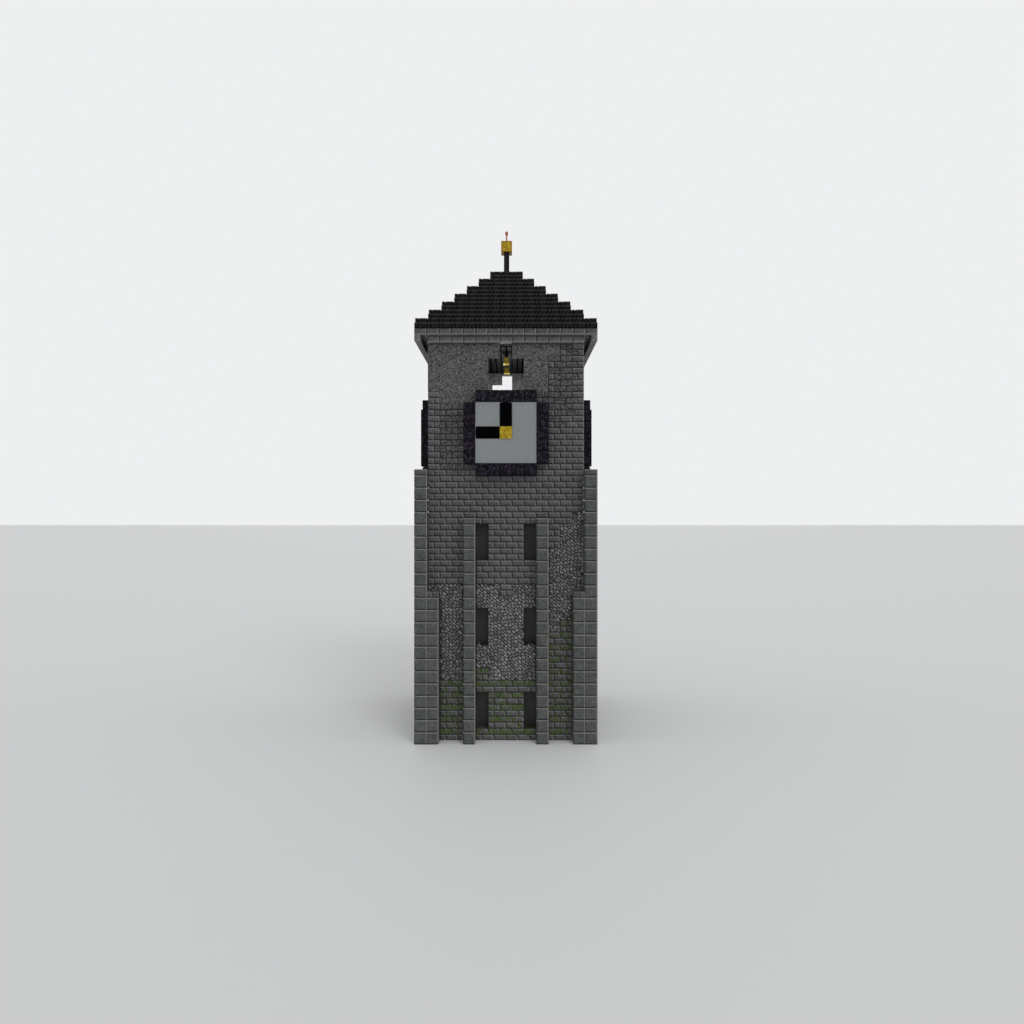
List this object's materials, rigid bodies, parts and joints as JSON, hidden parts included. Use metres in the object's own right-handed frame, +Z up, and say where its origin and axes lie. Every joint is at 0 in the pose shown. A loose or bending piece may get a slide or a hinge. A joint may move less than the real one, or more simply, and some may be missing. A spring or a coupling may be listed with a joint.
{
  "type": "clock tower, 1:2 scale model",
  "caption": "Square stone clock tower with corner buttresses, a dial on each side, an open belfry with bells and a stepped dark roof; a 1:2 scale model.",
  "frame": {"origin": "middle of the base at ground level", "axes": "+Z up, the front of the tower faces -Y, +X is to the right seen from the front"},
  "size_m": [7.5, 7.5, 22.5],
  "materials": {
    "masonry": "grey stone bricks, cobbles and rough stone, mossy at the foot",
    "polished_stone": "smooth dressed grey stone blocks",
    "dial_stone": "pale grey smooth stone",
    "frame_stone": "near-black purple glassy stone",
    "dark_tile": "dark slate tiles",
    "window_pane": "dark flat panes",
    "hand_black": "black painted plate",
    "gilt": "gilded",
    "bell_bronze": "cast bell metal",
    "hanger_iron": "dark brown iron",
    "copper": "weathered copper"
  },
  "bodies": {
    "tower": {"front_wall": "masonry", "front_window_panes": "window_pane", "front_pilasters": "polished_stone", "front_dial": "dial_stone", "front_clock_frame": "frame_stone", "front_cornice": "polished_stone", "right_wall": "masonry", "right_window_panes": "window_pane", "right_pilasters": "polished_stone", "right_dial": "dial_stone", "right_clock_frame": "frame_stone", "right_cornice": "polished_stone", "back_wall": "masonry", "back_window_panes": "window_pane", "back_pilasters": "polished_stone", "back_dial": "dial_stone", "back_clock_frame": "frame_stone", "back_cornice": "polished_stone", "left_wall": "masonry", "left_window_panes": "window_pane", "left_pilasters": "polished_stone", "left_dial": "dial_stone", "left_clock_frame": "frame_stone", "left_cornice": "polished_stone", "front_left_buttress": "polished_stone", "front_right_buttress": "polished_stone", "back_right_buttress": "polished_stone", "back_left_buttress": "polished_stone", "ground_floor": "masonry", "first_floor": "masonry", "second_floor": "masonry", "clock_floor": "masonry", "belfry_floor": "masonry", "belfry_ceiling": "dark_tile", "roof_lower_courses": "dark_tile", "roof_middle_courses": "dark_tile", "roof_upper_courses": "dark_tile", "roof_cap": "dark_tile", "bell_hangers": "hanger_iron", "finial_post": "dark_tile", "finial_cube": "gilt", "finial_rod": "copper"},
    "front_hour": {"front_hour_hand": "hand_black"},
    "front_minute": {"front_minute_hand": "hand_black", "front_hub": "gilt"},
    "right_hour": {"right_hour_hand": "hand_black"},
    "right_minute": {"right_minute_hand": "hand_black", "right_hub": "gilt"},
    "back_hour": {"back_hour_hand": "hand_black"},
    "back_minute": {"back_minute_hand": "hand_black", "back_hub": "gilt"},
    "left_hour": {"left_hour_hand": "hand_black"},
    "left_minute": {"left_minute_hand": "hand_black", "left_hub": "gilt"},
    "front_bell_swing": {"front_bell": "bell_bronze"},
    "back_bell_swing": {"back_bell": "bell_bronze"}
  },
  "joints": [
    {"name": "front_minute_turn", "type": "hinge", "parent": "tower", "child": "front_minute", "pos_m": [0, -3.75, 12.75], "axis": [0, 1, 0], "continuous": true},
    {"name": "front_hour_turn", "type": "hinge", "parent": "tower", "child": "front_hour", "pos_m": [0, -3.75, 12.75], "axis": [0, 1, 0], "continuous": true},
    {"name": "right_minute_turn", "type": "hinge", "parent": "tower", "child": "right_minute", "pos_m": [3.75, 0, 12.75], "axis": [-1, 0, 0], "continuous": true},
    {"name": "right_hour_turn", "type": "hinge", "parent": "tower", "child": "right_hour", "pos_m": [3.75, 0, 12.75], "axis": [-1, 0, 0], "continuous": true},
    {"name": "back_minute_turn", "type": "hinge", "parent": "tower", "child": "back_minute", "pos_m": [0, 3.75, 12.75], "axis": [0, -1, 0], "continuous": true},
    {"name": "back_hour_turn", "type": "hinge", "parent": "tower", "child": "back_hour", "pos_m": [0, 3.75, 12.75], "axis": [0, -1, 0], "continuous": true},
    {"name": "left_minute_turn", "type": "hinge", "parent": "tower", "child": "left_minute", "pos_m": [-3.75, 0, 12.75], "axis": [1, 0, 0], "continuous": true},
    {"name": "left_hour_turn", "type": "hinge", "parent": "tower", "child": "left_hour", "pos_m": [-3.75, 0, 12.75], "axis": [1, 0, 0], "continuous": true},
    {"name": "front_bell_turn", "type": "hinge", "parent": "tower", "child": "front_bell_swing", "pos_m": [0, -1, 16.458], "axis": [0, 1, 0], "range_deg": [-35, 35]},
    {"name": "back_bell_turn", "type": "hinge", "parent": "tower", "child": "back_bell_swing", "pos_m": [0, 1, 16.458], "axis": [0, 1, 0], "range_deg": [-35, 35]}
  ],
  "couplings": [
    {"joint": "front_hour_turn", "follows": "front_minute_turn", "ratio": 0.083333},
    {"joint": "right_minute_turn", "follows": "front_minute_turn", "ratio": 1},
    {"joint": "right_hour_turn", "follows": "front_minute_turn", "ratio": 0.083333},
    {"joint": "back_minute_turn", "follows": "front_minute_turn", "ratio": 1},
    {"joint": "back_hour_turn", "follows": "front_minute_turn", "ratio": 0.083333},
    {"joint": "left_minute_turn", "follows": "front_minute_turn", "ratio": 1},
    {"joint": "left_hour_turn", "follows": "front_minute_turn", "ratio": 0.083333}
  ]
}
